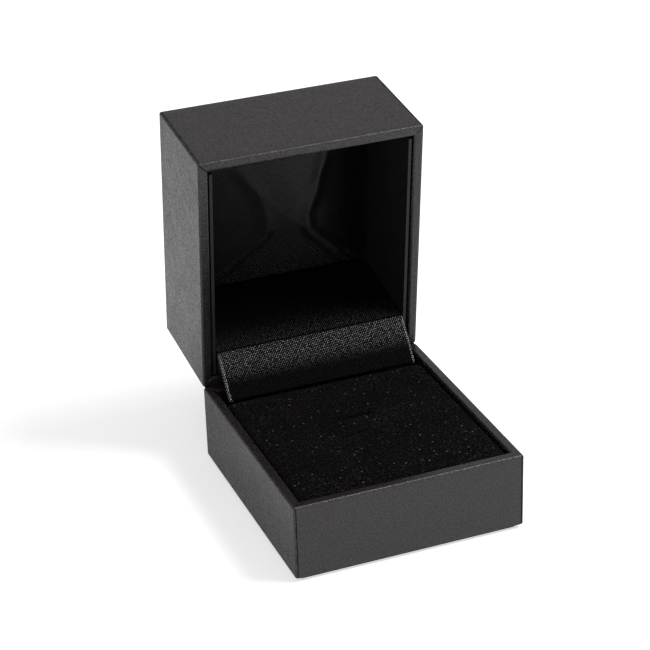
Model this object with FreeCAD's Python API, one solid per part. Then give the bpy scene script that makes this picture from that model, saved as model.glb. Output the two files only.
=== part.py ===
import FreeCAD, Part
import math
import os

# Small hinged display box for a pin: a wrapped board base and lid, a velvet pad with a slit,
# a satin lined lid, and a satin flap over the hinge. All lengths are in millimetres.
# +X is to the right seen from the front, +Y is towards the hinge, +Z is up, and the origin
# is at the middle of the underside. The lid is built shut and then turned open about its pin.

# Overall sizes
box_width = 50.0
box_depth = 54.2
base_height = 16.3
lid_height = 25.3
rim_gap = 0.3
lid_open_angle = 84.0

# Board, wrapping paper and the card under the base
board_thickness = 1.7
paper_thickness = 0.2
edge_round = 0.55
rim_round = 0.35
base_turn_in = 8.0
lid_turn_in = 12.0
bottom_turn_under = 7.0
bottom_card_thickness = 0.8
bottom_card_inset = 1.0
bottom_card_round = 1.0

# Hinge of bent sheet steel with a barrel on the rear edge
pin_radius = 0.5
pin_running_gap = 0.03
pin_head_radius = 0.85
pin_head_length = 0.3
pin_end_play = 0.05
knuckle_radius = 1.0
knuckle_count = 5
hinge_length = 30.0
leaf_thickness = 0.5
leaf_height = 9.0
barrel_clearance = 0.15
notch_end_gap = 0.3

# Stop dogs on the knuckle ends, which meet when the lid is open or shut
dog_length = 0.8
dog_end_gap = 0.1
dog_start_angle = -90.0
dog_angle_play = 0.5

# Pad of foam on card, covered in velvet
pad_side_gap = 0.3
pad_below_rim = 0.5
pad_crown = 0.4
pad_top_round = 1.2
pad_corner_round = 2.0
pad_card_thickness = 1.0
velvet_thickness = 0.5
velvet_turn_under = 6.0
slit_length = 8.0
slit_width = 0.6
slit_depth = 9.0
slit_centre_y = 3.0

# Well behind the pad, which the hinge and the flap need
well_depth = 8.2
spacer_thickness = 0.6
spacer_height = 7.3
spacer_foot = 4.6

# Card linings of the lid walls
liner_thickness = 0.65
liner_wall_gap = 0.4
liner_end_gap = 0.2
side_liner_below_rim = 0.4
front_liner_below_rim = 2.5

# Satin cushion inside the lid, hipped from its corners up to one low peak
satin_thickness = 0.25
panel_gap = 0.3
panel_card_thickness = 0.8
cushion_edge = 0.8
cushion_crown = 1.4
cushion_peak_x = 2.0
cushion_peak_from_rear = 26.0

# Satin covered rear panel of the lid and the flap that is creased onto it
crease_from_rear = 7.9
rear_panel_slant = 2.3
cover_card_thickness = 0.6
crease_gap = 0.12
flap_end_gap = 0.4
flap_pad_gap = 0.75
flap_above_pad = 0.1

# Sizes that follow from the ones above
point = FreeCAD.Vector
along_x = point(1, 0, 0)
along_z = point(0, 0, 1)
wall = board_thickness + 2 * paper_thickness
board_inner = board_thickness + paper_thickness
half_width = box_width / 2
half_depth = box_depth / 2
base_rim_z = bottom_card_thickness + base_height
base_floor_z = bottom_card_thickness + board_inner
hinge_y = half_depth
hinge_z = base_rim_z + rim_gap / 2
lid_rim_z = base_rim_z + rim_gap
lid_ceiling_z = lid_rim_z + lid_height - board_inner
pad_half_width = half_width - wall - pad_side_gap
pad_front_y = wall + pad_side_gap - half_depth
pad_rear_y = half_depth - well_depth
pad_edge_z = base_rim_z - pad_below_rim
liner_inner_x = half_width - wall - liner_wall_gap - liner_thickness
cover_half_width = liner_inner_x - flap_end_gap
cover_thickness = cover_card_thickness + 2 * satin_thickness
tiny = 1e-6
beyond = 1.0


def block(x_low, x_high, y_low, y_high, z_low, z_high):
    corner = point(x_low, y_low, z_low)
    return Part.makeBox(x_high - x_low, y_high - y_low, z_high - z_low, corner)


def slab(half_x, y_low, y_high, z_low, z_high):
    return block(-half_x, half_x, y_low, y_high, z_low, z_high)


def rod(radius, x_low, x_high, grow=0.0):
    start = point(x_low, hinge_y, hinge_z)
    return Part.makeCylinder(radius + grow, x_high - x_low, start, along_x)


def upright_edges(shape):
    found = []
    for edge in shape.Edges:
        box = edge.BoundBox
        if box.XLength < tiny and box.YLength < tiny:
            found.append(edge)
    return found


def opened(shape):
    turned = shape.copy()
    turned.rotate(point(0, hinge_y, hinge_z), along_x, -lid_open_angle)
    return turned


# A tray stands on z = 0 with its rim up. The base and the lid are both made from it.

def tray_envelope(height, shrink):
    body = block(shrink - half_width, half_width - shrink,
                 shrink - half_depth, half_depth - shrink, shrink, height - shrink)
    return body.makeFillet(edge_round - shrink, body.Edges)


def tray_hollow(inset, z_low, z_high):
    return block(inset - half_width, half_width - inset,
                 inset - half_depth, half_depth - inset, z_low, z_high)


def round_rim_inside(shape, inset, rim, radius):
    edges = []
    for edge in shape.Edges:
        middle = edge.CenterOfMass
        on_rim = abs(middle.z - rim) < tiny
        on_long = abs(abs(middle.x) - (half_width - inset)) < tiny
        on_short = abs(abs(middle.y) - (half_depth - inset)) < tiny
        if on_rim and (on_long or on_short):
            edges.append(edge)
    return shape.makeFillet(radius, edges)


def hinge_notch(height, grow):
    # Room in the rear rim for the bent leaf and for the barrel on the outer edge
    half = hinge_length / 2 + pin_end_play + pin_head_length + notch_end_gap + grow
    slot = slab(half, half_depth - wall - beyond, half_depth + beyond,
                height - leaf_thickness - grow, height + beyond)
    axis_start = point(-half, half_depth, height + rim_gap / 2)
    relief = knuckle_radius + barrel_clearance + grow
    return slot.fuse(Part.makeCylinder(relief, 2 * half, axis_start, along_x))


def tray_board(height):
    board = tray_envelope(height, paper_thickness)
    board = board.cut(tray_hollow(board_inner, board_inner, height + beyond))
    board = round_rim_inside(board, board_inner, height - paper_thickness,
                             rim_round - paper_thickness)
    return board.cut(hinge_notch(height, paper_thickness))


def tray_wrap(height, turn_in):
    wrap = tray_envelope(height, 0)
    wrap = wrap.cut(tray_hollow(wall, height - turn_in, height + beyond))
    wrap = round_rim_inside(wrap, wall, height, rim_round)
    wrap = wrap.cut(hinge_notch(height, 0))
    wrap = wrap.cut(tray_board(height))
    return wrap.cut(tray_hollow(board_inner, board_inner, height - turn_in))


def base_board():
    return tray_board(base_height).translated(along_z * bottom_card_thickness)


def base_wrap():
    window = tray_hollow(bottom_turn_under, -beyond, paper_thickness)
    wrap = tray_wrap(base_height, base_turn_in).cut(window)
    return wrap.translated(along_z * bottom_card_thickness)


def bottom_card():
    card = tray_hollow(bottom_card_inset, 0, bottom_card_thickness)
    return card.makeFillet(bottom_card_round, upright_edges(card))


def turned_over(tray):
    flipped = tray.copy()
    flipped.rotate(point(0, 0, 0), point(0, 1, 0), 180)
    return flipped.translated(along_z * (lid_rim_z + lid_height))


def lid_board():
    return opened(turned_over(tray_board(lid_height)))


def lid_wrap():
    return opened(turned_over(tray_wrap(lid_height, lid_turn_in)))


# Hinge. The base has the odd knuckles, counted from 1, and the lid has the even ones.

def knuckle_bounds(index):
    pitch = hinge_length / knuckle_count
    low = index * pitch - hinge_length / 2
    high = low + pitch
    inset = dog_length / 2 + dog_end_gap
    if index > 0:
        low += inset
    if index < knuckle_count - 1:
        high -= inset
    return low, high


def sector(start_angle, sweep, x_low, x_high):
    # Part of a barrel, with its angles counted from +Y towards +Z
    piece = Part.makeCylinder(knuckle_radius, x_high - x_low, point(0, 0, 0), along_z, sweep)
    piece.rotate(point(0, 0, 0), point(0, 1, 0), 90)
    piece.rotate(point(0, 0, 0), along_x, start_angle + 90)
    return piece.translated(point(x_low, hinge_y, hinge_z))


def stop_dogs(own, start_angle):
    sweep = (360 - lid_open_angle) / 2 - dog_angle_play
    dogs = []
    for index in range(own, knuckle_count, 2):
        low, high = knuckle_bounds(index)
        reach = dog_length + dog_end_gap
        if index > 0:
            dogs.append(sector(start_angle, sweep, low - reach, low))
        if index < knuckle_count - 1:
            dogs.append(sector(start_angle, sweep, high, high + reach))
    return dogs


def hinge_leaf(own, dog_start):
    plate_y = half_depth - wall
    half = hinge_length / 2
    leaf = slab(half, plate_y - leaf_thickness, plate_y, base_rim_z - leaf_height, base_rim_z)
    leaf = leaf.fuse(slab(half, plate_y - leaf_thickness, hinge_y,
                          base_rim_z - leaf_thickness, base_rim_z))
    edge = -half - beyond
    for index in range(own, knuckle_count, 2):
        low, high = knuckle_bounds(index)
        leaf = leaf.cut(rod(knuckle_radius, edge, low, barrel_clearance))
        leaf = leaf.fuse(rod(knuckle_radius, low, high))
        edge = high
    leaf = leaf.cut(rod(knuckle_radius, edge, half + beyond, barrel_clearance))
    for dog in stop_dogs(own, dog_start):
        leaf = leaf.fuse(dog)
    leaf = leaf.cut(rod(pin_radius, -half - beyond, half + beyond, pin_running_gap))
    return leaf.removeSplitter()


def hinge_base_leaf():
    return hinge_leaf(0, dog_start_angle)


def hinge_lid_leaf():
    # The shut lid leaf mirrors the base leaf, and its dogs mirror with it
    leaf = hinge_leaf(1, dog_angle_play - dog_start_angle)
    leaf = leaf.mirror(point(0, 0, hinge_z), along_z)
    return opened(leaf)


def hinge_pin():
    end = hinge_length / 2 + pin_end_play
    pin = rod(pin_radius, -end, end)
    pin = pin.fuse(rod(pin_head_radius, -end - pin_head_length, -end))
    pin = pin.fuse(rod(pin_head_radius, end, end + pin_head_length))
    return pin.removeSplitter()


# Pad

def pad_form(inset):
    # Block with a domed top, a rounded top edge and rounded corners
    z_low = base_floor_z + inset
    x_reach = pad_half_width - inset
    y_low = pad_front_y + inset
    y_high = pad_rear_y - inset
    form = slab(x_reach, y_low, y_high, z_low, pad_edge_z + pad_crown + beyond)
    form = form.makeFillet(pad_corner_round - inset, upright_edges(form))
    half_diagonal = math.hypot(pad_half_width, (pad_rear_y - pad_front_y) / 2)
    dome_radius = (half_diagonal ** 2 + pad_crown ** 2) / (2 * pad_crown)
    centre = point(0, (pad_front_y + pad_rear_y) / 2, pad_edge_z + pad_crown - dome_radius)
    form = form.common(Part.makeSphere(dome_radius - inset, centre))
    top_edges = []
    for edge in form.Edges:
        if edge.BoundBox.ZMin > pad_edge_z - inset - tiny:
            top_edges.append(edge)
    return form.makeFillet(pad_top_round - inset, top_edges)


def slit(grow):
    depth_z = pad_edge_z + pad_crown - slit_depth - grow
    y_reach = slit_width / 2 + grow
    return slab(slit_length / 2 + grow, slit_centre_y - y_reach, slit_centre_y + y_reach,
                depth_z, pad_edge_z + pad_crown + beyond)


def pad_core():
    return pad_form(velvet_thickness).cut(slit(velvet_thickness))


def pad_card_top_z():
    return base_floor_z + velvet_thickness + pad_card_thickness


def pad_card():
    below = slab(half_width, -half_depth, half_depth, 0, pad_card_top_z())
    return pad_core().common(below)


def pad_foam():
    below = slab(half_width, -half_depth, half_depth, 0, pad_card_top_z())
    return pad_core().cut(below)


def pad_velvet():
    border = velvet_turn_under
    window = slab(pad_half_width - border, pad_front_y + border, pad_rear_y - border,
                  0, base_floor_z + velvet_thickness)
    velvet = pad_form(0).cut(slit(0))
    return velvet.cut(pad_core()).cut(window)


def pad_spacer():
    # Folded card glued to the floor behind the pad, which keeps the well clear
    leg = slab(pad_half_width, pad_rear_y, pad_rear_y + spacer_thickness,
               base_floor_z, base_floor_z + spacer_height)
    foot = slab(pad_half_width, pad_rear_y, pad_rear_y + spacer_foot,
                base_floor_z, base_floor_z + spacer_thickness)
    return leg.fuse(foot).removeSplitter()


# Linings of the lid, built in the shut lid and turned open with it

def side_liner(side):
    inner = side * liner_inner_x
    outer = side * (liner_inner_x + liner_thickness)
    front_y = wall + liner_thickness + liner_end_gap - half_depth
    rear_y = half_depth - wall - liner_end_gap
    card = block(min(inner, outer), max(inner, outer), front_y, rear_y,
                 lid_rim_z + side_liner_below_rim, lid_ceiling_z)
    return opened(card)


def front_liner():
    reach = half_width - wall - liner_end_gap
    front_y = wall - half_depth
    card = slab(reach, front_y, front_y + liner_thickness,
                lid_rim_z + front_liner_below_rim, lid_ceiling_z)
    return opened(card)


def rear_panel_line():
    # Start, direction and back side of the rear panel's visible face in the shut lid
    start = point(0, hinge_y - crease_from_rear, hinge_z + rim_gap / 2)
    end = point(0, start.y - rear_panel_slant, lid_ceiling_z)
    direction = (end - start).normalize()
    return start, direction, point(0, direction.z, -direction.y)


def flap_line():
    # Start, direction and back side of the flap's visible face with the lid open
    start = rear_panel_line()[0]
    start = opened(Part.Vertex(start)).Point
    end = point(0, pad_rear_y + flap_pad_gap, pad_edge_z + flap_above_pad)
    direction = (end - start).normalize()
    return start, direction, point(0, -direction.z, direction.y), start.distanceToPoint(end)


def crease_half_angle():
    panel = opened(Part.Vertex(rear_panel_line()[1] + point(0, hinge_y, hinge_z))).Point
    panel = panel - point(0, hinge_y, hinge_z)
    return (math.pi - panel.getAngle(flap_line()[1])) / 2


def cover_strip(start, direction, back, length, inset):
    # Flat strip whose creased end is mitred, so that the two strips can fold together
    half_angle = crease_half_angle()
    corners = []
    for depth, end in ((inset, 0), (inset, 1), (cover_thickness - inset, 1),
                       (cover_thickness - inset, 0)):
        setback = crease_gap + inset / math.cos(half_angle) + depth * math.tan(half_angle)
        along = length - inset if end else setback
        corner = start + direction * along + back * depth
        corners.append(corner - along_x * (cover_half_width - inset))
    outline = Part.makePolygon(corners + corners[:1])
    return Part.Face(outline).extrude(along_x * (2 * (cover_half_width - inset)))


def rear_panel_length():
    start, direction, back = rear_panel_line()
    return (lid_ceiling_z - panel_gap - start.z) / direction.z - cover_thickness * abs(direction.y)


def rear_panel_strip(inset):
    start, direction, back = rear_panel_line()
    return cover_strip(start, direction, back, rear_panel_length(), inset)


def rear_panel_legs():
    # The panel's card is folded back at both ends and glued to the rear wall
    legs = []
    start, direction, back = rear_panel_line()
    reach = cover_half_width - satin_thickness
    face = cover_thickness / 2
    near = start + direction * (crease_gap + cover_thickness) + back * face
    far = start + direction * (rear_panel_length() - satin_thickness - tiny) + back * face
    wall_y = half_depth - wall
    for side in (-1, 1):
        low_x = side * reach if side < 0 else side * reach - cover_card_thickness
        corners = [point(low_x, near.y, near.z), point(low_x, wall_y, near.z),
                   point(low_x, wall_y, far.z), point(low_x, far.y, far.z)]
        outline = Part.makePolygon(corners + corners[:1])
        legs.append(Part.Face(outline).extrude(along_x * cover_card_thickness))
    return legs


def rear_panel_card():
    card = rear_panel_strip(satin_thickness)
    for leg in rear_panel_legs():
        card = card.fuse(leg)
    return opened(card.removeSplitter())


def rear_panel_satin():
    satin = rear_panel_strip(0).cut(rear_panel_strip(satin_thickness))
    for leg in rear_panel_legs():
        satin = satin.cut(leg)
    return opened(satin)


def flap_strip(inset):
    start, direction, back, length = flap_line()
    return cover_strip(start, direction, back, length, inset)


def flap_card():
    return flap_strip(satin_thickness)


def flap_satin():
    return flap_strip(0).cut(flap_strip(satin_thickness))


def panel_bounds(inset):
    # Half width, front and rear limits of the satin cushion in the shut lid
    reach = liner_inner_x - panel_gap - inset
    front_y = wall + liner_thickness + panel_gap - half_depth + inset
    rear_y = half_depth - crease_from_rear - rear_panel_slant - panel_gap - inset
    return reach, front_y, rear_y


def cushion_form(inset):
    # Flat back, short upright edge and four sloping faces that meet in one peak
    reach, front_y, rear_y = panel_bounds(inset)
    edge_z = lid_ceiling_z - panel_card_thickness - cushion_edge + inset
    peak_z = edge_z - cushion_crown
    peak = point(cushion_peak_x, half_depth - cushion_peak_from_rear, peak_z)
    plan = [(-reach, front_y), (reach, front_y), (reach, rear_y), (-reach, rear_y)]
    upper = [point(x, y, lid_ceiling_z) for x, y in plan]
    lower = [point(x, y, edge_z) for x, y in plan]
    faces = [Part.Face(Part.makePolygon(upper + upper[:1]))]
    for index in range(4):
        after = (index + 1) % 4
        side = [upper[index], upper[after], lower[after], lower[index], upper[index]]
        slope = [lower[index], lower[after], peak, lower[index]]
        faces.append(Part.Face(Part.makePolygon(side)))
        faces.append(Part.Face(Part.makePolygon(slope)))
    return Part.Solid(Part.Shell(faces))


def lid_panel_card():
    above = slab(half_width, -half_depth, half_depth,
                 lid_ceiling_z - panel_card_thickness, lid_ceiling_z)
    return opened(cushion_form(satin_thickness).common(above))


def lid_panel_foam():
    above = slab(half_width, -half_depth, half_depth,
                 lid_ceiling_z - panel_card_thickness, lid_ceiling_z)
    return opened(cushion_form(satin_thickness).cut(above))


def lid_panel_satin():
    return opened(cushion_form(0).cut(cushion_form(satin_thickness)))


parts = {
    "base_board": base_board(),
    "base_wrap": base_wrap(),
    "bottom_card": bottom_card(),
    "pad_card": pad_card(),
    "pad_foam": pad_foam(),
    "pad_velvet": pad_velvet(),
    "pad_spacer": pad_spacer(),
    "hinge_base_leaf": hinge_base_leaf(),
    "hinge_pin": hinge_pin(),
    "hinge_lid_leaf": hinge_lid_leaf(),
    "lid_board": lid_board(),
    "lid_wrap": lid_wrap(),
    "lid_liner_left": side_liner(-1),
    "lid_liner_right": side_liner(1),
    "lid_liner_front": front_liner(),
    "lid_panel_card": lid_panel_card(),
    "lid_panel_foam": lid_panel_foam(),
    "lid_panel_satin": lid_panel_satin(),
    "rear_panel_card": rear_panel_card(),
    "rear_panel_satin": rear_panel_satin(),
    "flap_card": flap_card(),
    "flap_satin": flap_satin(),
}

os.makedirs("parts", exist_ok=True)
for name, shape in parts.items():
    shape.exportStep("parts/" + name + ".step")
    print(name, "solids", len(shape.Solids), "volume", round(shape.Volume, 2), shape.isValid())

crease = flap_line()[0]
print("flap pivot", round(crease.y, 3), round(crease.z, 3), "flap length", round(flap_line()[3], 3))
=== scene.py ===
import math
import random

import bmesh
import bpy
from mathutils import Matrix, Vector, noise


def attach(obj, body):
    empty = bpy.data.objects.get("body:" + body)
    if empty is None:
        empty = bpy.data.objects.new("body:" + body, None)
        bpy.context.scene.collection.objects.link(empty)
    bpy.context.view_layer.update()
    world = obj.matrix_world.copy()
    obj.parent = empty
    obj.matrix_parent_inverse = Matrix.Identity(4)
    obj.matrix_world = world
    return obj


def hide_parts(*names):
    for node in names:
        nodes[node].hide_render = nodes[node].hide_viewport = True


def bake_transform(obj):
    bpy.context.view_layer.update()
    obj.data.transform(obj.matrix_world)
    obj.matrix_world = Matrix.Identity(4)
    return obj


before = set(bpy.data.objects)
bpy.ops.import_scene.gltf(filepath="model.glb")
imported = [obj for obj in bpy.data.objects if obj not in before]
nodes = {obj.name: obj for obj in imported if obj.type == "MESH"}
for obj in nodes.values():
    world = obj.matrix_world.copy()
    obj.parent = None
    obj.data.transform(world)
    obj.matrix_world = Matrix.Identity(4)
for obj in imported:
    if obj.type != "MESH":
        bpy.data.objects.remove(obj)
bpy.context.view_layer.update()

mm = 0.001


# Base board. The base is a shallow tray, folded from 1.7 mm greyboard and glued at its
# corners. The wrapping hides it, but for slivers in the well behind the pad and at the hinge.

def plug_in(tree, sockets, values):
    """Links each named socket to another one, or sets its plain value."""
    for name, value in values.items():
        if isinstance(value, bpy.types.NodeSocket):
            tree.links.new(value, sockets[name])
        else:
            sockets[name].default_value = value


def add_node(tree, kind, inputs=None, **options):
    """Adds a shader node, sets its options, and fills in or links its inputs."""
    made = tree.nodes.new("ShaderNode" + kind)
    for option, setting in options.items():
        setattr(made, option, setting)
    plug_in(tree, made.inputs, inputs or {})
    return made


def mixed_colour(tree, share, colour_a, colour_b):
    """Colour between a and b, by a share from 0 to 1."""
    return add_node(tree, "Mix", {0: share, 6: colour_a, 7: colour_b}, data_type="RGBA").outputs[2]


def ramped(tree, value, low, high, out_low=0.0, out_high=1.0):
    """Value turned into a soft step between low and high."""
    return add_node(tree, "MapRange", {0: value, 1: low, 2: high, 3: out_low, 4: out_high},
                    interpolation_type="SMOOTHSTEP").outputs[0]


def combined(tree, operation, value_a, value_b=0.0):
    return add_node(tree, "Math", {0: value_a, 1: value_b}, operation=operation).outputs[0]


def plus(tree, value_a, value_b):
    return combined(tree, "ADD", value_a, value_b)


def times(tree, value_a, value_b):
    return combined(tree, "MULTIPLY", value_a, value_b)


def object_place(tree):
    return add_node(tree, "TexCoord").outputs["Object"]


def mottled(tree, place, scale, detail, roughness=0.5):
    """Cloudy noise from 0 to 1, with scale patches to the metre."""
    return add_node(tree, "TexNoise", {"Vector": place, "Scale": scale, "Detail": detail,
                                       "Roughness": roughness}).outputs["Fac"]


def bumped(tree, height, strength, depth):
    """Normal of a surface whose height rises and falls by the depth."""
    return add_node(tree, "Bump", {"Height": height, "Strength": strength, "Distance": depth}).outputs[0]


def effect_group(name, inputs, outputs):
    """Empty node group, with its named sockets and its input and output nodes."""
    group = bpy.data.node_groups.new(name, "ShaderNodeTree")
    for socket, kind in inputs:
        group.interface.new_socket(socket, in_out="INPUT", socket_type="NodeSocket" + kind)
    for socket, kind in outputs:
        group.interface.new_socket(socket, in_out="OUTPUT", socket_type="NodeSocket" + kind)
    return group, group.nodes.new("NodeGroupInput").outputs, group.nodes.new("NodeGroupOutput").inputs


def placed_group(tree, group, inputs):
    made = tree.nodes.new("ShaderNodeGroup")
    made.node_tree = group
    plug_in(tree, made.inputs, inputs)
    return made.outputs


def new_finish(name, **constants):
    """Material with one Principled shader, whose plain values are set on its own sockets."""
    finish = bpy.data.materials.new(name)
    finish.use_nodes = True
    shader = finish.node_tree.nodes["Principled BSDF"]
    for socket, value in constants.items():
        shader.inputs[socket.replace("_", " ")].default_value = value
    return finish, finish.node_tree, shader.inputs


def set_finish(piece, finish):
    piece.data.materials.clear()
    piece.data.materials.append(finish)


# Short pale and dark fibres in pressed board and card
card_fibres, group_in, group_out = effect_group(
    "card_fibres",
    [("Card", "Color"), ("Fibre", "Color"), ("Fibre share", "Float")],
    [("Color", "Color"), ("Height", "Float")])
place = object_place(card_fibres)
stretched = add_node(card_fibres, "Mapping", {"Vector": place, "Scale": (400, 1400, 900)}).outputs[0]
fibre_noise = mottled(card_fibres, stretched, 1.0, 4.0, 0.6)
fibres = times(card_fibres, ramped(card_fibres, fibre_noise, 0.5, 0.68), group_in["Fibre share"])
clouds = times(card_fibres, ramped(card_fibres, mottled(card_fibres, place, 150.0, 3.0), 0.35, 0.7), 0.25)
share = plus(card_fibres, fibres, clouds)
plug_in(card_fibres, group_out, {
    "Color": mixed_colour(card_fibres, share, group_in["Card"], group_in["Fibre"]),
    "Height": fibre_noise})


def card_finish(name, roughness, shine, card, fibre, fibre_share, relief, depth):
    """Board or card whose fibres show in its surface."""
    finish, tree, sockets = new_finish(name, Roughness=roughness, Specular_IOR_Level=shine)
    pulp = placed_group(tree, card_fibres, {"Card": card, "Fibre": fibre, "Fibre share": fibre_share})
    plug_in(tree, sockets, {"Base Color": pulp["Color"],
                            "Normal": bumped(tree, pulp["Height"], relief, depth)})
    return finish


greyboard = card_finish("raw_greyboard", roughness=0.9, shine=0.25, card=(0.15, 0.14, 0.13, 1),
                        fibre=(0.24, 0.22, 0.2, 1), fibre_share=0.7, relief=0.5, depth=0.03 * mm)
set_finish(nodes["base_board"], greyboard)


# Base wrapping. One sheet of charcoal leatherette paper is glued over the tray. The side
# flaps turn round the upright corners, the front and rear flaps cover them just short of the
# corner, and all are mitred over the rim and turned in.

box_width, box_depth = 50.0 * mm, 54.2 * mm
half_width, half_depth = box_width / 2, box_depth / 2
wall = 2.1 * mm
edge_round, rim_round = 0.32 * mm, 0.3 * mm
paper_thickness = 0.2 * mm
base_foot, base_height = 0.8 * mm, 16.3 * mm
base_turn_in, base_turn_under = 8 * mm, 7 * mm
rim_gap = 0.3 * mm
notch_half_length, notch_depth, barrel_relief = 15.65 * mm, 0.5 * mm, 1.15 * mm
lap_thickness, lap_edge_lift, lap_groove, lap_waviness = 0.07 * mm, 0.04 * mm, 0.17 * mm, 0.05 * mm
seam_inset = 0.43 * mm
seam_x = half_width - seam_inset
mitre_half_width, mitre_slit, mitre_ridge = 0.17 * mm, 0.17 * mm, 0.035 * mm
mitre_waviness, slit_waviness = 0.07 * mm, 0.03 * mm
ridge_waviness, ridge_roughness = 0.025 * mm, 0.01 * mm
near = 0.01 * mm
# The rubbed colour is partly real wear and partly a painted highlight on the rounded edges
paper_colour, rubbed_highlight_colour = (0.0138, 0.01, 0.0126, 1), (0.034, 0.032, 0.033, 1)


def select_only(piece):
    if bpy.context.mode != "OBJECT":
        bpy.ops.object.mode_set(mode="OBJECT")
    bpy.ops.object.select_all(action="DESELECT")
    piece.select_set(True)
    bpy.context.view_layer.objects.active = piece


def added_block(name, low, high):
    """Cube primitive at its size and place, open in edit mode."""
    bpy.ops.object.select_all(action="DESELECT")
    middle = [(a + b) / 2 for a, b in zip(low, high)]
    size = [b - a for a, b in zip(low, high)]
    bpy.ops.mesh.primitive_cube_add(size=1, location=middle, scale=size)
    block = bpy.context.object
    block.name = block.data.name = name
    bpy.ops.object.transform_apply(location=True, rotation=True, scale=True)
    bpy.ops.object.mode_set(mode="EDIT")
    return block


def pick(piece, kind, test):
    """Selects, in edit mode, only the faces, edges or verts that the test accepts."""
    bpy.ops.mesh.select_all(action="DESELECT")
    bpy.ops.mesh.select_mode(type={"faces": "FACE", "edges": "EDGE", "verts": "VERT"}[kind])
    shape = bmesh.from_edit_mesh(piece.data)
    shape.normal_update()
    for part in getattr(shape, kind):
        if test(part):
            part.select_set(True)
    shape.select_flush_mode()
    bmesh.update_edit_mesh(piece.data)


def middle_of(part):
    total = Vector()
    for corner in part.verts:
        total += corner.co
    return total / len(part.verts)


def apply_modifier(piece, kind, **options):
    select_only(piece)
    bpy.ops.object.modifier_add(type=kind)
    modifier = piece.modifiers[-1]
    for option, setting in options.items():
        setattr(modifier, option, setting)
    bpy.ops.object.modifier_apply(modifier=modifier.name)


def cut_away(piece, cutter):
    apply_modifier(piece, "BOOLEAN", operation="DIFFERENCE", solver="MANIFOLD", object=cutter)
    bpy.data.objects.remove(cutter)


def crisp_shading(piece, degrees=30):
    """Smooth over the small rounds, with flat faces kept flat."""
    select_only(piece)
    bpy.ops.object.shade_smooth_by_angle(angle=math.radians(degrees), keep_sharp_edges=False)
    apply_modifier(piece, "WEIGHTED_NORMAL", keep_sharp=True, weight=100)


def lap_flaps(tray, foot, rim, chance):
    """Lays the front and rear flaps on top of the side flaps. Their edges are a little uneven,
    with a shallow groove beside them."""
    for side in (-1, 1):
        bpy.ops.mesh.select_all(action="SELECT")
        bpy.ops.mesh.bisect(plane_co=(side * seam_x, 0, 0), plane_no=(1, 0, 0))
    pick(tray, "faces", lambda f: abs(middle_of(f).x) < seam_x - near
         and abs(middle_of(f).y) > half_depth - wall - near
         and middle_of(f).z > foot + 2 * near
         and (abs(f.normal.x) < 0.3 or abs(middle_of(f).x) < seam_x - wall))
    bpy.ops.mesh.extrude_region_shrink_fatten(TRANSFORM_OT_shrink_fatten={"value": lap_thickness})
    pick(tray, "edges", lambda e: all(abs(abs(v.co.x) - seam_x) < 2 * near for v in e.verts)
         and all(abs(v.co.y) > half_depth - near for v in e.verts)
         and abs(e.verts[0].co.z - e.verts[1].co.z) > mm)
    bpy.ops.mesh.subdivide(number_cuts=28)
    shape = bmesh.from_edit_mesh(tray.data)
    for corner in shape.verts:
        if corner.select and foot + mm < corner.co.z < rim - mm:
            on_top = abs(corner.co.y) > half_depth + lap_thickness / 2
            outward = lap_edge_lift if on_top else -lap_groove
            corner.co.x += chance.uniform(-lap_waviness, lap_waviness)
            corner.co.y += math.copysign(outward, corner.co.y) * chance.uniform(0.7, 1)
    bmesh.update_edit_mesh(tray.data)


def tuck_mitres(tray, rim, seed, chance):
    """Tucks the paper into a slit at each mitred corner of the rim, and lifts it beside it."""
    for side_x, side_y in ((-1, -1), (-1, 1), (1, -1), (1, 1)):
        across_mitre = (0.7071, -0.7071 * side_x * side_y, 0)
        for aside in (-mitre_half_width, mitre_half_width):
            pick(tray, "faces", lambda f: f.normal.z > 0.9 and middle_of(f).z > rim - 0.05 * mm
                 and middle_of(f).x * side_x > -mm and middle_of(f).y * side_y > -mm)
            bpy.ops.mesh.bisect(plane_co=(side_x * (half_width - edge_round) + aside,
                                          side_y * (half_depth - edge_round), 0), plane_no=across_mitre)
    skew = half_width - half_depth
    pick(tray, "edges", lambda e: all(v.co.z > rim - 2 * near for v in e.verts)
         and all(abs(abs(v.co.x) - abs(v.co.y) - skew) < 0.3 * mm for v in e.verts)
         and abs(abs(e.verts[0].co.x) - abs(e.verts[1].co.x)) > 0.5 * mm)
    bpy.ops.mesh.subdivide(number_cuts=5)
    shape = bmesh.from_edit_mesh(tray.data)
    for corner in shape.verts:
        along = (half_width - edge_round - abs(corner.co.x)) / (wall - edge_round - rim_round)
        if corner.select and 0.02 < along < 0.98:
            beside = abs(abs(corner.co.x) - abs(corner.co.y) - skew) > 0.1 * mm
            wave = noise.noise(Vector((seed, along * 3, corner.co.x * 20)))
            if beside:
                corner.co.z += mitre_ridge + ridge_waviness * wave
                corner.co.z += chance.uniform(-ridge_roughness, ridge_roughness)
            else:
                corner.co.z += slit_waviness * wave - mitre_slit
            corner.co.x += mitre_waviness * wave
    bmesh.update_edit_mesh(tray.data)


def cut_hinge_notch(tray, rim):
    """Room in the rear rim for the bent hinge leaf and for the barrel on the rear edge."""
    slot = added_block("notch_slot", (-notch_half_length, half_depth - wall - mm, rim - notch_depth),
                       (notch_half_length, half_depth + mm, rim + mm))
    bpy.ops.object.mode_set(mode="OBJECT")
    cut_away(tray, slot)
    bpy.ops.mesh.primitive_cylinder_add(vertices=32, radius=barrel_relief, depth=2 * notch_half_length,
                                        location=(0, half_depth, rim + rim_gap / 2),
                                        rotation=(0, math.pi / 2, 0))
    cut_away(tray, bpy.context.object)


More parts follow.
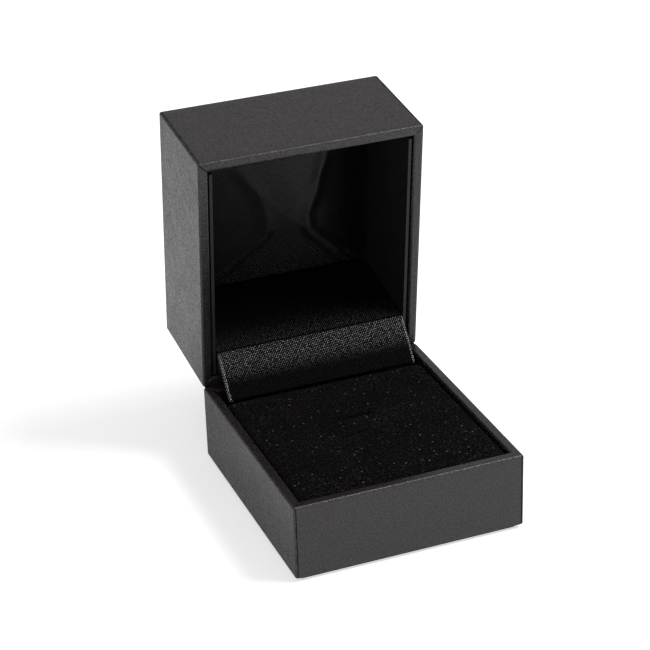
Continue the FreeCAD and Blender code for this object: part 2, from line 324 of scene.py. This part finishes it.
def note_wear_and_highlight(tray, foot, rim):
    """Keeps, for each corner of the mesh, how far out on a rounded edge it lies, which sets its rubbed wear
    and painted highlight, and whether it lies on the front or rear flap of the paper."""
    wear_and_highlight = tray.data.attributes.new("wear_and_highlight", "FLOAT", "POINT")
    lap = tray.data.attributes.new("lap", "FLOAT", "POINT")
    for index, corner in enumerate(tray.data.vertices):
        x, y, z = corner.co
        depths = sorted((abs(half_width - abs(x)), abs(half_depth - abs(y)),
                         min(abs(rim - z), abs(z - foot))))
        # The middle of a rounded edge lies 0.29 of its radius in, and the rim is handled most. Away from
        # the rim the edges get less wear and painted highlight
        outer = (1 - depths[1] / edge_round) / (1 - 0.29)
        if abs(rim - z) > edge_round:
            outer *= 0.4
        wear_and_highlight.data[index].value = max(0.0, min(1.0, outer))
        lap.data[index].value = float(abs(y) > half_depth + lap_thickness / 2)


def wrapped_tray(name, foot, height, turn_in, turn_under, seed):
    """Paper wrapping of a tray that stands on z = foot with its rim up."""
    rim = foot + height
    chance = random.Random(seed)
    tray = added_block(name, (-half_width, -half_depth, foot), (half_width, half_depth, rim))
    bpy.ops.mesh.bevel(offset=edge_round, segments=4, affect="EDGES")
    pick(tray, "faces", lambda f: f.normal.z > 0.99 and middle_of(f).z > rim - near)
    bpy.ops.mesh.inset(thickness=wall - edge_round)
    bpy.ops.mesh.extrude_region_move(TRANSFORM_OT_translate={"value": (0, 0, -turn_in)})
    pick(tray, "edges", lambda e: all(v.co.z > rim - near for v in e.verts)
         and all(abs(v.co.x) < half_width - wall + near for v in e.verts)
         and all(abs(v.co.y) < half_depth - wall + near for v in e.verts))
    bpy.ops.mesh.bevel(offset=rim_round, segments=3, affect="EDGES")
    if turn_under:
        pick(tray, "faces", lambda f: f.normal.z < -0.99 and middle_of(f).z < foot + near)
        bpy.ops.mesh.inset(thickness=turn_under - edge_round)
    lap_flaps(tray, foot, rim, chance)
    tuck_mitres(tray, rim, seed, chance)
    bpy.ops.object.mode_set(mode="OBJECT")
    cut_hinge_notch(tray, rim)

    # The tray is open where the turned-in and turned-under paper ends
    select_only(tray)
    bpy.ops.object.mode_set(mode="EDIT")
    pick(tray, "faces", lambda f: f.normal.z > 0.9 and abs(middle_of(f).z - rim + turn_in) < 0.2 * mm)
    bpy.ops.mesh.delete(type="FACE")
    if turn_under:
        window_x = half_width - turn_under
        pick(tray, "faces", lambda f: f.normal.z < -0.9 and abs(middle_of(f).x) < window_x / 2
             and abs(middle_of(f).y) < half_depth - turn_under - mm)
        bpy.ops.mesh.delete(type="FACE")
    apply_modifier(tray, "SOLIDIFY", thickness=paper_thickness, offset=-1)
    note_wear_and_highlight(tray, foot, rim)
    return tray


# Fine pressed grain of the paper, with soft cloudiness over a few millimetres
leather_grain, group_in, group_out = effect_group(
    "leather_grain",
    [("Paper", "Color"), ("Rubbed highlight", "Color"), ("Wear and highlight", "Float"), ("Seam", "Float")],
    [("Color", "Color"), ("Roughness", "Float"), ("Metallic", "Float"), ("Height", "Float")])
place = object_place(leather_grain)
pebbles = add_node(leather_grain, "TexVoronoi", {"Vector": place, "Scale": 2600.0, "Randomness": 1.0},
                   feature="F1").outputs["Distance"]
fine = mottled(leather_grain, place, 2900.0, 1.5)
cloud = mottled(leather_grain, place, 90.0, 3.0)
uneven = mottled(leather_grain, place, 230.0, 1.0)
height = combined(leather_grain, "SUBTRACT", 1.0, pebbles)
height = plus(leather_grain, height, times(leather_grain, fine, 0.8))
height = plus(leather_grain, height, times(leather_grain, uneven, 3.0))

# Rubbed wear, partly a painted highlight, in patches on the rounded edges, and a tone that varies with the
# grain and is darkened in the seam as a painted shadow
worn_highlight_patches = ramped(leather_grain, mottled(leather_grain, place, 700.0, 4.0, 0.7), 0.4, 0.68)
worn_and_highlight = times(leather_grain, group_in["Wear and highlight"], worn_highlight_patches)
speckle = ramped(leather_grain, fine, 0.36, 0.64, -0.5, 0.5)
shade = times(leather_grain, ramped(leather_grain, cloud, 0.3, 0.7, 0.93, 1.07),
              plus(leather_grain, 1.0, times(leather_grain, speckle, 1.8)))
shade = times(leather_grain, shade, combined(leather_grain, "SUBTRACT", 1.0, group_in["Seam"]))
tone = mixed_colour(leather_grain, worn_and_highlight, group_in["Paper"], group_in["Rubbed highlight"])
shaded = add_node(leather_grain, "VectorMath", {"Vector": tone, "Scale": shade},
                  operation="SCALE").outputs[0]
gloss = combined(leather_grain, "SUBTRACT", ramped(leather_grain, cloud, 0.3, 0.7, 0.26, 0.32),
                 times(leather_grain, speckle, 0.2))
gloss = plus(leather_grain, gloss, times(leather_grain, group_in["Wear and highlight"], 0.3))

# The painted shadow in the seam is a black metal, so that it has no shine
plug_in(leather_grain, group_out, {"Color": shaded, "Roughness": gloss, "Metallic": group_in["Seam"],
                                   "Height": height})

leatherette, tree, sockets = new_finish("charcoal_paper", Specular_IOR_Level=0.65)
sideways = combined(tree, "ABSOLUTE", add_node(tree, "SeparateXYZ", {0: object_place(tree)}).outputs["X"])
# Painted shadow: the seam beside the edges of the front and rear flaps is darkened and loses its shine
off_seam = combined(tree, "ABSOLUTE", combined(tree, "SUBTRACT", sideways, seam_x))
seam_shadow = times(tree, ramped(tree, off_seam, 0.06 * mm, 0.27 * mm, 0.9, 0.0),
             add_node(tree, "Attribute", attribute_name="lap").outputs["Fac"])
wear_and_highlight = add_node(tree, "Attribute", attribute_name="wear_and_highlight").outputs["Fac"]
grain = placed_group(tree, leather_grain, {"Paper": paper_colour, "Rubbed highlight": rubbed_highlight_colour, "Wear and highlight": wear_and_highlight,
                                           "Seam": seam_shadow})
plug_in(tree, sockets, {"Base Color": grain["Color"], "Roughness": grain["Roughness"],
                        "Metallic": grain["Metallic"],
                        "Normal": bumped(tree, grain["Height"], 0.7, 0.05 * mm)})

base_wrapping = wrapped_tray("base_wrapping", base_foot, base_height, base_turn_in, base_turn_under, seed=3)
crisp_shading(base_wrapping)
set_finish(base_wrapping, leatherette)
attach(base_wrapping, "base")
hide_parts("base_wrap")


# Bottom card. A plate of 0.8 mm black card is glued under the base and covers the paper's
# turned-under edges. It stands back a millimetre from the sides.

black_card = card_finish("black_card_stock", roughness=0.75, shine=0.4, card=(0.018, 0.017, 0.018, 1),
                         fibre=(0.05, 0.047, 0.048, 1), fibre_share=0.5, relief=0.3, depth=0.02 * mm)
set_finish(nodes["bottom_card"], black_card)


# Hinge. Two leaves of sheet steel are bent over the rims and rolled into knuckles on a
# headed pin. The steel is blackened, and rubbed brighter by handling.

dark_steel, rubbed_steel = (0.16, 0.15, 0.15, 1), (0.42, 0.4, 0.38, 1)
hinge_steel, tree, sockets = new_finish("blackened_steel", Metallic=1.0)
place = object_place(tree)
drawn = add_node(tree, "Mapping", {"Vector": place, "Scale": (300, 6000, 6000)}).outputs[0]
brushed = mottled(tree, drawn, 1.0, 3.0)
rubbed = ramped(tree, mottled(tree, place, 500.0, 5.0), 0.42, 0.66)
plug_in(tree, sockets, {"Base Color": mixed_colour(tree, rubbed, dark_steel, rubbed_steel),
                        "Roughness": ramped(tree, brushed, 0.3, 0.7, 0.28, 0.42),
                        "Normal": bumped(tree, brushed, 0.3, 0.01 * mm)})
for part in ("hinge_base_leaf", "hinge_lid_leaf", "hinge_pin"):
    set_finish(nodes[part], hinge_steel)


# Spacer and pad card. A folded strip of black card keeps the well behind the pad clear, and
# the pad stands on a plate of the same card.

for part in ("pad_spacer", "pad_card"):
    set_finish(nodes[part], black_card)


# Velvet pad. A block of foam is covered in black flocked velvet, glued under its card, with
# one short slit in its middle. The foam swells the cloth into soft edges.

pad_low = Vector((-22.7, -24.8, 2.7)) * mm
pad_high = Vector((22.7, 19.6, 16.55)) * mm
pad_corner_round, pad_top_round = 1.2 * mm, 0.55 * mm
pad_crown, pad_swell, pad_held_height, nap_relief = 0.35 * mm, 0.16 * mm, 6 * mm, 0.05 * mm
slit_centre = Vector((0, 3.0, 0)) * mm
slit_half_length, slit_half_width, slit_end_round = 4.0 * mm, 0.3 * mm, 0.28 * mm
slit_floor, slit_lips = 7.5 * mm, 15.9 * mm
slit_dip, dip_half_length, dip_half_width = 0.22 * mm, 4.5 * mm, 1.2 * mm
bare_velvet, thin_velvet = (0.0014, 0.0011, 0.0012, 1), (0.02, 0.018, 0.0185, 1)
lint_colour = (0.15, 0.147, 0.143, 1)


def puffed(form, voxel, pressure, cap, holds):
    """Even skin over a closed form, blown out like cloth over foam by no more than cap.
    holds(place) is from 0, free, to 1, held still. It is done at 20 times the size."""
    enlarge, last_moment = 20.0, 20
    select_only(form)
    form.data.transform(Matrix.Scale(enlarge, 4))
    form.data.remesh_voxel_size = voxel * enlarge
    bpy.ops.object.voxel_remesh()
    start = [corner.co.copy() for corner in form.data.vertices]
    group = form.vertex_groups.new(name="held")
    for corner in form.data.vertices:
        group.add([corner.index], holds(corner.co / enlarge), "REPLACE")
    bpy.ops.object.modifier_add(type="CLOTH")
    cloth = form.modifiers[-1]
    cloth.settings.quality = 4
    cloth.settings.use_pressure = True
    cloth.settings.uniform_pressure_force = pressure
    cloth.settings.vertex_group_mass = "held"
    cloth.settings.effector_weights.gravity = 0
    cloth.point_cache.frame_start, cloth.point_cache.frame_end = 1, last_moment
    for moment in range(1, last_moment + 1):
        bpy.context.scene.frame_set(moment)
    bpy.ops.object.modifier_apply(modifier=cloth.name)
    bpy.context.scene.frame_set(1)
    form.vertex_groups.clear()
    for corner, before in zip(form.data.vertices, start):
        moved = corner.co - before
        if moved.length > cap * enlarge:
            corner.co = before + moved.normalized() * cap * enlarge
    form.data.transform(Matrix.Scale(1 / enlarge, 4))
    apply_modifier(form, "SUBSURF", levels=1, render_levels=1)
    select_only(form)
    bpy.ops.object.shade_smooth()


velvet_pad = added_block("velvet_pad", pad_low, pad_high)
pick(velvet_pad, "edges", lambda e: abs(e.verts[0].co.z - e.verts[1].co.z) > mm)
bpy.ops.mesh.bevel(offset=pad_corner_round, segments=5, affect="EDGES")
pick(velvet_pad, "edges", lambda e: all(v.co.z > pad_high.z - near for v in e.verts))
bpy.ops.mesh.bevel(offset=pad_top_round, segments=4, affect="EDGES")
bpy.ops.object.mode_set(mode="OBJECT")
puffed(velvet_pad, voxel=0.9 * mm, pressure=4.0, cap=pad_swell,
       holds=lambda place: 1.0 if place.z < pad_low.z + pad_held_height else 0.0)

# The crown, the uneven nap and the dip along the slit
pad_middle, pad_half = (pad_low + pad_high) / 2, (pad_high - pad_low) / 2
outward = [corner.normal.copy() for corner in velvet_pad.data.vertices]
for corner in velvet_pad.data.vertices:
    along = corner.co - pad_middle
    lift = (1 - (along.x / pad_half.x) ** 2) * (1 - (along.y / pad_half.y) ** 2)
    upper = max(0.0, min(1.0, along.z / pad_half.z))
    corner.co.z += pad_crown * max(0.0, lift) * upper
    pile = nap_relief * (noise.noise(corner.co * 900) + noise.noise(corner.co * 120))
    corner.co += outward[corner.index] * pile * upper
    corner.co.z -= slit_dip * upper * math.exp(-((corner.co.x / dip_half_length) ** 2
                                                 + ((corner.co.y - slit_centre.y) / dip_half_width) ** 2))

# The cloth is cut, and its lips roll outwards
slit_end = Vector((slit_half_length, slit_half_width, 0))
slit = added_block("slit", slit_centre - slit_end + Vector((0, 0, slit_floor)),
                   slit_centre + slit_end + Vector((0, 0, slit_lips)))
pick(slit, "edges", lambda e: abs(e.verts[0].co.z - e.verts[1].co.z) > mm)
bpy.ops.mesh.bevel(offset=slit_end_round, segments=4, affect="EDGES")
for rise, spread in ((0.35, 1.12), (0.3, 1.3), (0.25, 1.7), (0.5, 2.4)):
    pick(slit, "faces", lambda f: f.normal.z > 0.99)
    bpy.ops.mesh.extrude_region_move(TRANSFORM_OT_translate={"value": (0, 0, rise * mm)})
    bpy.ops.transform.resize(value=(1 + (spread - 1) * 0.08, spread, 1))
bpy.ops.object.mode_set(mode="OBJECT")
cut_away(velvet_pad, slit)
select_only(velvet_pad)
bpy.ops.object.shade_smooth()

# Sparse pale lint, and a fine nap that is a little thinner in places
lint_specks, group_in, group_out = effect_group(
    "lint_specks", [("Spacing", "Float"), ("Size", "Float")], [("Lint", "Float")])
spots = add_node(lint_specks, "TexVoronoi", {"Vector": object_place(lint_specks),
                                             "Scale": group_in["Spacing"], "Randomness": 1.0}, feature="F1")
spot_draw = add_node(lint_specks, "SeparateColor", {0: spots.outputs["Color"]}).outputs[0]
close = add_node(lint_specks, "MapRange", {0: spots.outputs["Distance"], 1: 0.0, 2: group_in["Size"],
                                           3: 1.0, 4: 0.0}).outputs[0]
plug_in(lint_specks, group_out, {
    "Lint": times(lint_specks, ramped(lint_specks, spot_draw, 0.45, 1.0), close)})

velvet, tree, sockets = new_finish("flocked_velvet", Roughness=0.95, Specular_IOR_Level=0.03,
                                   Sheen_Weight=0.01, Sheen_Roughness=0.45, Sheen_Tint=(0.9, 0.85, 0.88, 1))
place = object_place(tree)
nap = mottled(tree, place, 2600.0, 2.0, 0.7)
patch = ramped(tree, mottled(tree, place, 160.0, 3.0), 0.3, 0.7, 0.5, 1.0)
thin = times(tree, ramped(tree, nap, 0.48, 0.7), patch)
lint = placed_group(tree, lint_specks, {"Spacing": 850.0, "Size": 0.21})["Lint"]
tone = mixed_colour(tree, lint, mixed_colour(tree, thin, bare_velvet, thin_velvet), lint_colour)
plug_in(tree, sockets, {"Base Color": tone, "Normal": bumped(tree, nap, 0.8, 0.12 * mm)})

set_finish(velvet_pad, velvet)
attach(velvet_pad, "base")
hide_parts("pad_foam", "pad_velvet")


# Lid board and wrapping. The lid is a deeper tray of the same board and paper, turned over.
# Its mitred rim faces forward while the box is open.

lid_height, lid_turn_in = 25.3 * mm, 12 * mm
lid_top = base_foot + base_height + rim_gap + lid_height
hinge_axis = Vector((0, half_depth, base_foot + base_height + rim_gap / 2))
open_angle = math.radians(84)


def opened_lid(piece):
    """Turns a piece that is built in the shut lid back about the hinge pin."""
    turn = (Matrix.Translation(hinge_axis) @ Matrix.Rotation(-open_angle, 4, "X")
            @ Matrix.Translation(-hinge_axis))
    piece.data.transform(turn)
    piece.data.update()


set_finish(nodes["lid_board"], greyboard)
lid_wrapping = wrapped_tray("lid_wrapping", 0.0, lid_height, lid_turn_in, turn_under=0.0, seed=11)
lid_wrapping.data.transform(Matrix.Translation((0, 0, lid_top)) @ Matrix.Rotation(math.pi, 4, "Y"))
opened_lid(lid_wrapping)
crisp_shading(lid_wrapping)
set_finish(lid_wrapping, leatherette)
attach(lid_wrapping, "lid")
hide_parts("lid_wrap")


# Hinge paper. On each side of the barrel a tab of the same paper is glued over the backs of
# the base and the lid. It closes the joint, and is bent on the hinge line to the open lid.

tab_inner_x, tab_outer_x = 15.95 * mm, 24.6 * mm
tab_reach, tab_lift, tab_thickness, tab_corner = 4.6 * mm, 0.09 * mm, 0.13 * mm, 0.5 * mm
fold_reach, fold_depth, fold_cuts = 0.34 * mm, 0.15 * mm, 6
for side, tab_name in ((-1, "hinge_paper_left"), (1, "hinge_paper_right")):
    near_x, far_x = sorted((side * tab_inner_x, side * tab_outer_x))
    tab = added_block(tab_name, (near_x, hinge_axis.y + tab_lift, hinge_axis.z - tab_reach),
                      (far_x, hinge_axis.y + tab_lift + tab_thickness, hinge_axis.z + tab_reach))
    pick(tab, "edges", lambda e: abs(e.verts[0].co.y - e.verts[1].co.y) > 0.05 * mm)
    bpy.ops.mesh.bevel(offset=tab_corner, segments=3, affect="EDGES")
    for step in range(-fold_cuts, fold_cuts + 1):
        bpy.ops.mesh.select_all(action="SELECT")
        cut_height = hinge_axis.z + step * fold_reach / fold_cuts
        bpy.ops.mesh.bisect(plane_co=(0, 0, cut_height), plane_no=(0, 0, 1))
    bpy.ops.object.mode_set(mode="OBJECT")
    for corner in tab.data.vertices:
        share = max(0.0, min(1.0, 0.5 + (corner.co.z - hinge_axis.z) / (2 * fold_reach)))
        turn = Matrix.Rotation(-open_angle * share * share * (3 - 2 * share), 4, "X")
        corner.co = hinge_axis + turn @ (corner.co - hinge_axis)
    crisp_shading(tab, degrees=40)
    set_finish(tab, leatherette)
    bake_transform(tab)


# Lid linings and panel card. Smooth black card lines the side and front walls of the lid,
# a hair off the wrapping, and a plate of card carries the cushion.

lining_card = card_finish("lining_card", roughness=0.5, shine=0.45, card=(0.008, 0.008, 0.009, 1),
                          fibre=(0.02, 0.02, 0.021, 1), fibre_share=0.3, relief=0.2, depth=0.01 * mm)
for part in ("lid_liner_left", "lid_liner_right", "lid_liner_front"):
    set_finish(nodes[part], lining_card)
set_finish(nodes["lid_panel_card"], black_card)


# Satin cushion. Thin foam on the panel card is covered in black satin, drawn tight from its
# four corners, so that long soft folds run to a low peak in the middle.

cushion_low = Vector((-21.4, -23.9, 38.9)) * mm
cushion_high = Vector((21.4, 16.5, 40.0)) * mm
cushion_peak = Vector((2.0, 1.1, 37.3)) * mm
cushion_swell, cushion_unevenness, darkest_lean = 0.25 * mm, 0.05 * mm, 0.09
# The glint colour is a painted highlight on the satin's threads
satin_thread, satin_glint = (0.003, 0.0027, 0.0029, 1), (0.13, 0.12, 0.118, 1)

# Two folds in the shut lid, from the lower to the upper corner on each side, in millimetres
# from the middle of the lid and from the hinge
fold_lines = (((-21, 8), (-13.6, 14), (-3.4, 22), (-2.6, 26), (-4.6, 33), (-10.5, 43)),
              ((21, 7), (18.2, 10.1), (7.2, 21.5), (6.6, 26), (8.8, 31), (11.5, 43)))
fold_height, fold_half_width = 0.2 * mm, 1.5 * mm

# The face of the block is split from its middle, which is drawn out to the peak
satin_cushion = added_block("satin_cushion", cushion_low, cushion_high)
pick(satin_cushion, "faces", lambda f: f.normal.z < -0.99)
bpy.ops.mesh.poke()
shape = bmesh.from_edit_mesh(satin_cushion.data)
for corner in shape.verts:
    if abs(corner.co.x) < 20 * mm:
        corner.co = cushion_peak
bmesh.update_edit_mesh(satin_cushion.data)
bpy.ops.object.mode_set(mode="OBJECT")
puffed(satin_cushion, voxel=0.5 * mm, pressure=3.0, cap=cushion_swell,
       holds=lambda place: 1.0 if place.z > cushion_high.z - 0.3 * mm else 0.0)

# The glued edge stays flat, and the rest gets its folds and a slight unevenness
for corner in satin_cushion.data.vertices:
    if corner.co.z > cushion_high.z - 0.4 * mm:
        continue
    place = Vector((corner.co.x, hinge_axis.y - corner.co.y))
    corner.co.z -= cushion_unevenness * noise.noise(Vector((place.x * 120, place.y * 160, 0)))
    for line in fold_lines:
        apart = []
        for start, end in zip(line, line[1:]):
            start, run = Vector(start) * mm, (Vector(end) - Vector(start)) * mm
            along = max(0.0, min(1.0, (place - start).dot(run) / run.length_squared))
            apart.append((place - start - run * along).length)
        corner.co.z -= fold_height * math.exp(-(min(apart) / fold_half_width) ** 2)

# Painted sheen: facets that lean sideways get fewer painted glints and look darker, as if their threads
# turned away from the light
satin_cushion.data.update()
painted_sheen_level = satin_cushion.data.attributes.new("painted_sheen_level", "FLOAT", "POINT")
for index, corner in enumerate(satin_cushion.data.vertices):
    painted_sheen_level.data[index].value = max(0.0, 1.0 - (corner.normal.x / darkest_lean) ** 2)
opened_lid(satin_cushion)
select_only(satin_cushion)
bpy.ops.object.shade_smooth()

cushion_map = satin_cushion.data.uv_layers.new(name="threads")
for loop in satin_cushion.data.loops:
    place = satin_cushion.data.vertices[loop.vertex_index].co
    cushion_map.data[loop.index].uv = (place.x, place.z)

# Satin: floats of thread in slanting rows, with painted glints as small dots, some brighter than others
satin_weave_and_glints, group_in, group_out = effect_group(
    "satin_weave_and_glints", [("Thread", "Color"), ("Glint", "Color"), ("Map", "Vector"), ("Glints", "Float")],
    [("Color", "Color"), ("Height", "Float")])
slanted = add_node(satin_weave_and_glints, "Mapping", {"Vector": group_in["Map"], "Scale": (2150, 2750, 1),
                                            "Rotation": (0, 0, math.radians(-32))}).outputs[0]
rows = add_node(satin_weave_and_glints, "VectorMath", {0: slanted, 1: (math.tau, math.tau, 1)},
                operation="MULTIPLY").outputs[0]
rows = add_node(satin_weave_and_glints, "SeparateXYZ", {0: rows}).outputs
floats = combined(satin_weave_and_glints, "MINIMUM", combined(satin_weave_and_glints, "SINE", rows["X"]),
                  combined(satin_weave_and_glints, "SINE", rows["Y"]))
core = ramped(satin_weave_and_glints, floats, -0.1, 0.6)
picked = add_node(satin_weave_and_glints, "TexNoise", {"Vector": slanted, "Scale": 0.9, "Detail": 1.0},
                  noise_dimensions="2D").outputs["Fac"]
bright = times(satin_weave_and_glints, ramped(satin_weave_and_glints, picked, 0.35, 0.7, 0.15, 1.0), core)
bright = times(satin_weave_and_glints, bright, group_in["Glints"])
plug_in(satin_weave_and_glints, group_out, {
    "Color": mixed_colour(satin_weave_and_glints, bright, group_in["Thread"], group_in["Glint"]), "Height": core})

satin, tree, sockets = new_finish("black_satin", Roughness=0.26, Specular_IOR_Level=0.22, Anisotropic=0.9,
                                  Anisotropic_Rotation=0.25)
thread_map = add_node(tree, "UVMap", uv_map="threads").outputs[0]
facet_sheen = add_node(tree, "Attribute", attribute_name="painted_sheen_level").outputs["Fac"]
weave = placed_group(tree, satin_weave_and_glints, {"Thread": satin_thread, "Glint": satin_glint, "Map": thread_map,
                                         "Glints": ramped(tree, facet_sheen, 0.0, 1.0, 0.12, 1.0)})
along_thread = add_node(tree, "Tangent", direction_type="UV_MAP", uv_map="threads").outputs[0]
plug_in(tree, sockets, {"Base Color": weave["Color"], "Tangent": along_thread,
                        "Normal": bumped(tree, weave["Height"], 0.25, 0.05 * mm)})

set_finish(satin_cushion, satin)
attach(satin_cushion, "lid")
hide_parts("lid_panel_foam", "lid_panel_satin")


# Rear panel and flap cards. Two strips of thin black card carry the satin over the hinge.
# The rear panel is glued in the lid, and the flap swings on the crease in the satin.

for part in ("rear_panel_card", "flap_card"):
    set_finish(nodes[part], black_card)


# Satin cover of the rear panel and flap. One strip of satin is drawn over both cards and
# glued round their edges. It is pressed into a groove at the crease, where it folds.

cover_half_width, cover_thickness = 21.6 * mm, 1.1 * mm
cover_edge_round, crease_round = 0.4 * mm, 0.3 * mm
crease = Vector((0, 26.423, 25.122)) * mm
panel_run, panel_length = Vector((0, 0.97953, 0.20131)), 23.2 * mm
flap_run, flap_length = Vector((0, -0.6267, -0.7793)), 10.81 * mm
# The glint colour is a painted highlight on the satin's threads
cover_thread, cover_glint = (0.001, 0.0009, 0.0009, 1), (0.6, 0.582, 0.57, 1)


def off_crease(corner):
    """How far a corner of the mesh lies from the line of the crease."""
    return (corner.co - Vector((corner.co.x, 0, 0)) - crease).length


bpy.ops.object.select_all(action="DESELECT")
bpy.ops.mesh.primitive_plane_add(size=1)
flap_cover = bpy.context.object
flap_cover.name = flap_cover.data.name = "flap_cover"
bpy.ops.object.mode_set(mode="EDIT")
shape = bmesh.from_edit_mesh(flap_cover.data)
for corner in shape.verts:
    side = math.copysign(cover_half_width, corner.co.x)
    corner.co = Vector((side, 0, 0)) + crease + (panel_run * panel_length if corner.co.y > 0 else Vector())
bmesh.update_edit_mesh(flap_cover.data)
pick(flap_cover, "edges", lambda e: all(off_crease(v) < near for v in e.verts))
bpy.ops.mesh.extrude_region_move(TRANSFORM_OT_translate={"value": flap_run * flap_length})
bpy.ops.mesh.select_all(action="SELECT")
bpy.ops.mesh.normals_make_consistent(inside=False)
shape = bmesh.from_edit_mesh(flap_cover.data)
shape.faces.ensure_lookup_table()
if shape.faces[0].normal.z < 0:
    bpy.ops.mesh.flip_normals()
bpy.ops.object.mode_set(mode="OBJECT")
apply_modifier(flap_cover, "SOLIDIFY", thickness=cover_thickness, offset=-1, use_even_offset=True)
bpy.ops.object.mode_set(mode="EDIT")
pick(flap_cover, "edges", lambda e: e.calc_face_angle(0) > math.radians(70))
bpy.ops.mesh.bevel(offset=cover_edge_round, segments=4, affect="EDGES")
pick(flap_cover, "edges", lambda e: all(off_crease(v) < 0.6 * mm for v in e.verts)
     and abs(e.verts[0].co.x - e.verts[1].co.x) > mm and e.calc_face_angle(0) > math.radians(10))
bpy.ops.mesh.bevel(offset=crease_round, segments=4, affect="EDGES")
bpy.ops.object.mode_set(mode="OBJECT")
crisp_shading(flap_cover, degrees=40)

# The weave is laid out flat from the crease, and runs on over the folded edges
cover_map = flap_cover.data.uv_layers.new(name="threads")
for loop in flap_cover.data.loops:
    place = flap_cover.data.vertices[loop.vertex_index].co - crease
    on_flap = place.dot(panel_run - flap_run) < 0
    run = flap_run if on_flap else panel_run
    depth = abs(place.dot(run.cross(Vector((1, 0, 0)))))
    reach = place.dot(run) + depth
    cover_map.data[loop.index].uv = (place.x + math.copysign(depth, place.x), reach if on_flap else -reach)

# Painted highlights on the threads: glints are painted on the upper flap and fade towards its lower edge, a
# few on the panel above the crease, and bright ones on the folded ends.
# Along the crease no glints are painted, which leaves a painted shadow line
flap_satin, tree, sockets = new_finish("woven_satin", Roughness=0.5, Specular_IOR_Level=0.015)
thread_map = add_node(tree, "UVMap", uv_map="threads").outputs[0]
sheet_map = add_node(tree, "SeparateXYZ", {0: thread_map}).outputs
across, run = combined(tree, "ABSOLUTE", sheet_map["X"]), sheet_map["Y"]
painted_light_flap = times(tree, ramped(tree, run, 2.5 * mm, 7.8 * mm, 0.6, 0.025),
                 ramped(tree, run, -0.3 * mm, 0.3 * mm))
painted_light_panel = times(tree, ramped(tree, run, -9.0 * mm, -0.6 * mm, 0.04, 0.17),
                  ramped(tree, run, -0.7 * mm, -0.4 * mm, 1.0, 0.0))
painted_end_highlight = times(tree, ramped(tree, across, 21.0 * mm, 21.3 * mm, 0.0, 3.5),
                   ramped(tree, across, 21.9 * mm, 22.3 * mm, 1.0, 0.15))
painted_end_highlight = times(tree, painted_end_highlight, ramped(tree, run, 0.0, 0.6 * mm))
painted_light = plus(tree, plus(tree, painted_light_flap, painted_light_panel), painted_end_highlight)
weave = placed_group(tree, satin_weave_and_glints, {"Thread": cover_thread, "Glint": cover_glint, "Map": thread_map,
                                         "Glints": painted_light})
plug_in(tree, sockets, {"Base Color": weave["Color"],
                        "Normal": bumped(tree, weave["Height"], 0.4, 0.06 * mm)})
set_finish(flap_cover, flap_satin)
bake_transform(flap_cover)
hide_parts("rear_panel_satin", "flap_satin")


# Floor, lights and camera. The box stands on plain white paper, under a large soft light
# from the right and above, with a weak one from the left front.

bpy.ops.object.select_all(action="DESELECT")
bpy.ops.mesh.primitive_plane_add(size=4)
floor = bpy.context.object
floor.name = "floor"
floor_tone, floor_glow, mirrored_glow = 0.8, 0.56, 0.1
paper, tree, sockets = new_finish("white_floor", Roughness=1.0, Specular_IOR_Level=0.0,
                                  Base_Color=(floor_tone, floor_tone, floor_tone, 1))
path = add_node(tree, "LightPath").outputs
seen = plus(tree, times(tree, path["Is Camera Ray"], floor_glow),
            times(tree, path["Is Glossy Ray"], mirrored_glow))
glow = add_node(tree, "Emission", {"Color": (1, 1, 1, 1), "Strength": seen})
both = add_node(tree, "AddShader", {0: tree.nodes["Principled BSDF"].outputs[0], 1: glow.outputs[0]})
plug_in(tree, tree.nodes["Material Output"].inputs, {"Surface": both.outputs[0]})
set_finish(floor, paper)

room_light, far_wall = (0.41, 0.41, 0.41, 1), (0.89, 0.89, 0.89, 1)
world = bpy.data.worlds.new("studio")
bpy.context.scene.world = world
world.use_nodes = True
tree = world.node_tree
seen = add_node(tree, "LightPath").outputs["Is Camera Ray"]
plug_in(tree, tree.nodes["Background"].inputs, {"Color": mixed_colour(tree, seen, room_light, far_wall)})


def soft_light(name, place, aim, size, power):
    lamp = bpy.data.lights.new(name, "AREA")
    lamp.shape, lamp.size, lamp.energy = "SQUARE", size, power
    light = bpy.data.objects.new(name, lamp)
    bpy.context.collection.objects.link(light)
    light.location = place
    light.rotation_euler = (Vector(place) - Vector(aim)).to_track_quat("Z", "Y").to_euler()


soft_light("right_window", (0.31, -0.12, 0.5), (0, 0, 0.03), 0.25, 2.8)
soft_light("front_fill", (-0.3, -0.5, 0.3), (0, 0, 0.03), 0.35, 0.4)

# The focal length is in pixels of a square frame, and the angles are in radians
camera = bpy.data.objects.new("camera", bpy.data.cameras.new("camera"))
bpy.context.collection.objects.link(camera)
focal_pixels, frame_pixels = 2187.3, 650
camera.data.lens = focal_pixels / frame_pixels * camera.data.sensor_width
turn, rise, tilt = -0.3626, 0.4690, -0.0329
aim, distance = Vector((-7.683, -2.301, 42.216)) * mm, 440.87 * mm
back = Vector((math.sin(turn) * math.cos(rise), -math.cos(turn) * math.cos(rise), math.sin(rise)))
right = (-back).cross(Vector((0, 0, 1))).normalized()
up = right.cross(-back)
right, up = (right * math.cos(tilt) + up * math.sin(tilt), up * math.cos(tilt) - right * math.sin(tilt))
place = aim + back * distance
camera.matrix_world = Matrix(((right.x, up.x, back.x, place.x), (right.y, up.y, back.y, place.y),
                              (right.z, up.z, back.z, place.z), (0, 0, 0, 1)))
bpy.context.scene.camera = camera
bpy.context.scene.view_settings.view_transform = "Standard"
